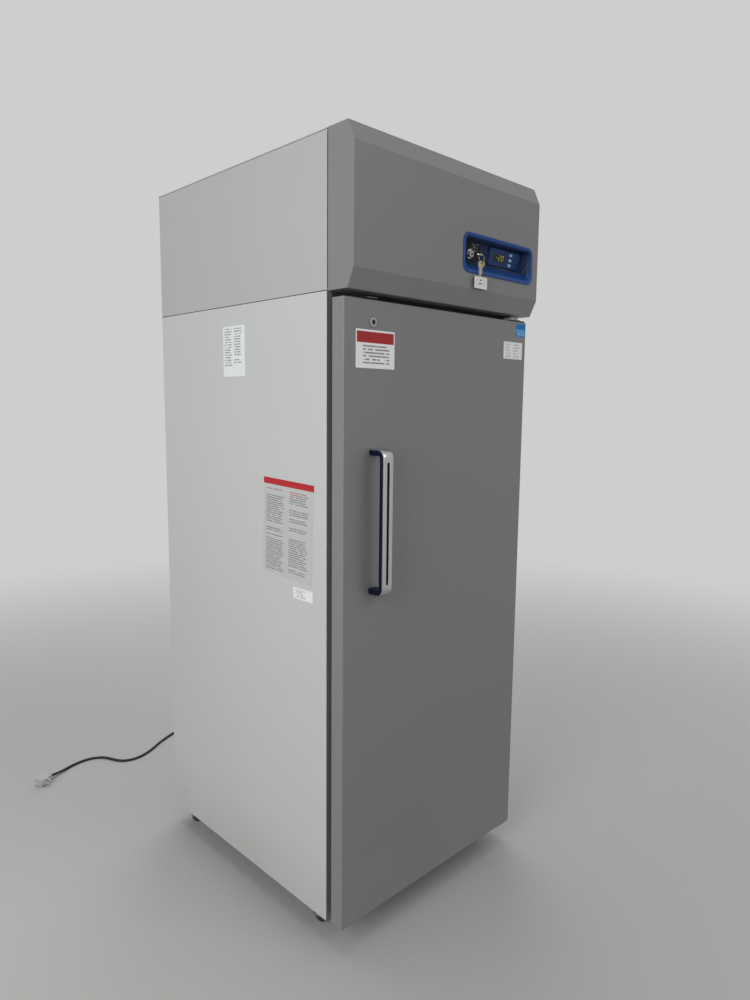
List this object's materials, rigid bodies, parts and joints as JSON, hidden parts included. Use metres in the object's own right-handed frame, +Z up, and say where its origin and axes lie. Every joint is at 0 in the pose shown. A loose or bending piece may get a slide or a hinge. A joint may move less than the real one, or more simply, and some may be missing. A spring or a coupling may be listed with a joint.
{
  "type": "upright laboratory freezer",
  "caption": "Tall insulated cabinet on casters with a full-height door, bar handle, and a hinged control hood over a top-mounted cooling unit.",
  "frame": {"origin": "floor level, at the middle of the width and of the depth from the handle's front to the rear face, measured without the mains lead, its strain relief and its plug", "axes": "+Z up, the door faces -Y, +X to the right as seen from the front"},
  "size_m": [0.9728, 1.4909, 1.994],
  "materials": {
    "case_paint": "smooth satin enamel",
    "door_paint": "smooth satin enamel",
    "zinc_steel": "galvanised, faint spangle",
    "frame_plastic": "plain extruded profile",
    "liner_white": "smooth white enamel",
    "foam": "rigid insulation foam",
    "gasket_rubber": "soft matt",
    "handle_metal": "satin anodised",
    "handle_navy": "moulded, glossy",
    "lock_chrome": "bright plated",
    "bright_steel": "satin",
    "hinge_black": "black enamel",
    "bushing_white": "moulded acetal",
    "block_cream": "moulded",
    "bezel_navy": "moulded, semi-gloss",
    "panel_navy": "printed film overlay",
    "window_dark": "dark lens",
    "button_pale": "moulded keycap",
    "key_nickel": "nickel plated",
    "key_brass": "bright, lightly worn",
    "tag_card": "plain white card",
    "fin_aluminium": "mill finish",
    "black_enamel": "gloss black enamel",
    "copper_pipe": "drawn copper tube",
    "pan_black": "moulded",
    "shelf_coat": "white epoxy coat",
    "cover_white": "moulded",
    "wheel_grey": "hard tread",
    "cord_black": "matt jacket",
    "plug_grey": "moulded"
  },
  "bodies": {
    "cabinet": {"outer_case": "case_paint", "base_pan": "zinc_steel", "face_frame": "frame_plastic", "inner_liner": "liner_white", "foam_core": "foam", "machine_deck": "zinc_steel", "machine_sides": "case_paint", "top_panel": "case_paint", "rear_louvre_panel": "zinc_steel", "strike_plate": "bright_steel", "hinge_brackets": "hinge_black", "hinge_block": "block_cream", "hood_hinge_brackets": "bright_steel", "condenser_coil": "fin_aluminium", "fan_shroud": "black_enamel", "condenser_motor": "black_enamel", "compressor": "black_enamel", "refrigerant_pipes": "copper_pipe", "control_box": "zinc_steel", "drain_pan": "pan_black", "shelf_supports": "bright_steel", "wire_shelves": "shelf_coat", "evaporator_cover": "cover_white", "evaporator_coil": "fin_aluminium", "evaporator_motor": "black_enamel", "cord_gland": "cord_black", "mains_cord": "cord_black", "mains_plug": "plug_grey"},
    "door": {"door_pan": "door_paint", "door_core": "foam", "door_liner": "liner_white", "door_gasket": "gasket_rubber", "handle_strap": "handle_metal", "handle_grip": "handle_navy", "lock_case": "lock_chrome", "hinge_bushings": "bushing_white"},
    "hood": {"hood": "door_paint", "hood_hinge_leaves": "bright_steel", "control_bezel": "bezel_navy", "display_module": "panel_navy", "display_window": "window_dark", "key_switch": "lock_chrome"},
    "lock_plug": {"lock_plug": "lock_chrome"},
    "lock_bolt": {"lock_bolt": "bright_steel"},
    "key": {"key": "key_nickel"},
    "key_hanger": {"spare_key": "key_brass", "key_tag": "tag_card"},
    "button_1": {"button_1": "button_pale"},
    "button_2": {"button_2": "button_pale"},
    "button_3": {"button_3": "button_pale"},
    "condenser_fan": {"condenser_fan": "fin_aluminium"},
    "evaporator_fan": {"evaporator_fan": "fin_aluminium"},
    "fork_front_left": {"caster_fork_front_left": "bright_steel"},
    "wheel_front_left": {"caster_wheel_front_left": "wheel_grey"},
    "fork_front_right": {"caster_fork_front_right": "bright_steel"},
    "wheel_front_right": {"caster_wheel_front_right": "wheel_grey"},
    "fork_rear_left": {"caster_fork_rear_left": "bright_steel"},
    "wheel_rear_left": {"caster_wheel_rear_left": "wheel_grey"},
    "fork_rear_right": {"caster_fork_rear_right": "bright_steel"},
    "wheel_rear_right": {"caster_wheel_rear_right": "wheel_grey"}
  },
  "joints": [
    {"name": "door_swing", "type": "hinge", "parent": "cabinet", "child": "door", "pos_m": [0.34, -0.369, 0.85], "axis": [0, 0, 1], "range_deg": [0, 115]},
    {"name": "hood_lift", "type": "hinge", "parent": "cabinet", "child": "hood", "pos_m": [0, -0.339, 1.988], "axis": [-1, 0, 0], "range_deg": [0, 70]},
    {"name": "lock_turn", "type": "hinge", "parent": "door", "child": "lock_plug", "pos_m": [-0.265, -0.3892, 1.575], "axis": [0, -1, 0], "range_deg": [0, 90]},
    {"name": "bolt_slide", "type": "slide", "parent": "door", "child": "lock_bolt", "axis": [0, 0, 1], "range_m": [0, 0.012]},
    {"name": "key_turn", "type": "hinge", "parent": "hood", "child": "key", "pos_m": [0.078, -0.39372, 1.77915], "axis": [0, 0.9781, 0.2079], "range_deg": [0, 90]},
    {"name": "hanger_turn", "type": "hinge", "parent": "key", "child": "key_hanger", "pos_m": [0.078, -0.39372, 1.77915], "axis": [0, 0.9781, 0.2079], "range_deg": [-90, 0]},
    {"name": "button_1_press", "type": "slide", "parent": "hood", "child": "button_1", "axis": [0, 0.9781, 0.2079], "range_m": [0, 0.0008], "stiffness_N_per_m": 300, "springref_m": -0.0004},
    {"name": "button_2_press", "type": "slide", "parent": "hood", "child": "button_2", "axis": [0, 0.9781, 0.2079], "range_m": [0, 0.0008], "stiffness_N_per_m": 300, "springref_m": -0.0004},
    {"name": "button_3_press", "type": "slide", "parent": "hood", "child": "button_3", "axis": [0, 0.9781, 0.2079], "range_m": [0, 0.0008], "stiffness_N_per_m": 300, "springref_m": -0.0004},
    {"name": "condenser_fan_spin", "type": "hinge", "parent": "cabinet", "child": "condenser_fan", "pos_m": [-0.15, -0.201, 1.763], "axis": [0, 1, 0], "continuous": true},
    {"name": "evaporator_fan_spin", "type": "hinge", "parent": "cabinet", "child": "evaporator_fan", "pos_m": [0, -0.125, 1.513], "axis": [0, 1, 0], "continuous": true},
    {"name": "swivel_front_left", "type": "hinge", "parent": "cabinet", "child": "fork_front_left", "pos_m": [-0.3035, -0.269, 0.06], "axis": [0, 0, 1], "continuous": true},
    {"name": "roll_front_left", "type": "hinge", "parent": "fork_front_left", "child": "wheel_front_left", "pos_m": [-0.3035, -0.249, 0.025], "axis": [1, 0, 0], "continuous": true},
    {"name": "swivel_front_right", "type": "hinge", "parent": "cabinet", "child": "fork_front_right", "pos_m": [0.3035, -0.269, 0.06], "axis": [0, 0, 1], "continuous": true},
    {"name": "roll_front_right", "type": "hinge", "parent": "fork_front_right", "child": "wheel_front_right", "pos_m": [0.3035, -0.249, 0.025], "axis": [1, 0, 0], "continuous": true},
    {"name": "swivel_rear_left", "type": "hinge", "parent": "cabinet", "child": "fork_rear_left", "pos_m": [-0.3035, 0.379, 0.06], "axis": [0, 0, 1], "continuous": true},
    {"name": "roll_rear_left", "type": "hinge", "parent": "fork_rear_left", "child": "wheel_rear_left", "pos_m": [-0.3035, 0.399, 0.025], "axis": [1, 0, 0], "continuous": true},
    {"name": "swivel_rear_right", "type": "hinge", "parent": "cabinet", "child": "fork_rear_right", "pos_m": [0.3035, 0.379, 0.06], "axis": [0, 0, 1], "continuous": true},
    {"name": "roll_rear_right", "type": "hinge", "parent": "fork_rear_right", "child": "wheel_rear_right", "pos_m": [0.3035, 0.399, 0.025], "axis": [1, 0, 0], "continuous": true}
  ],
  "couplings": [
    {"joint": "lock_turn", "follows": "bolt_slide", "rad_per_m": 130.9},
    {"joint": "hanger_turn", "follows": "key_turn", "ratio": -1}
  ]
}
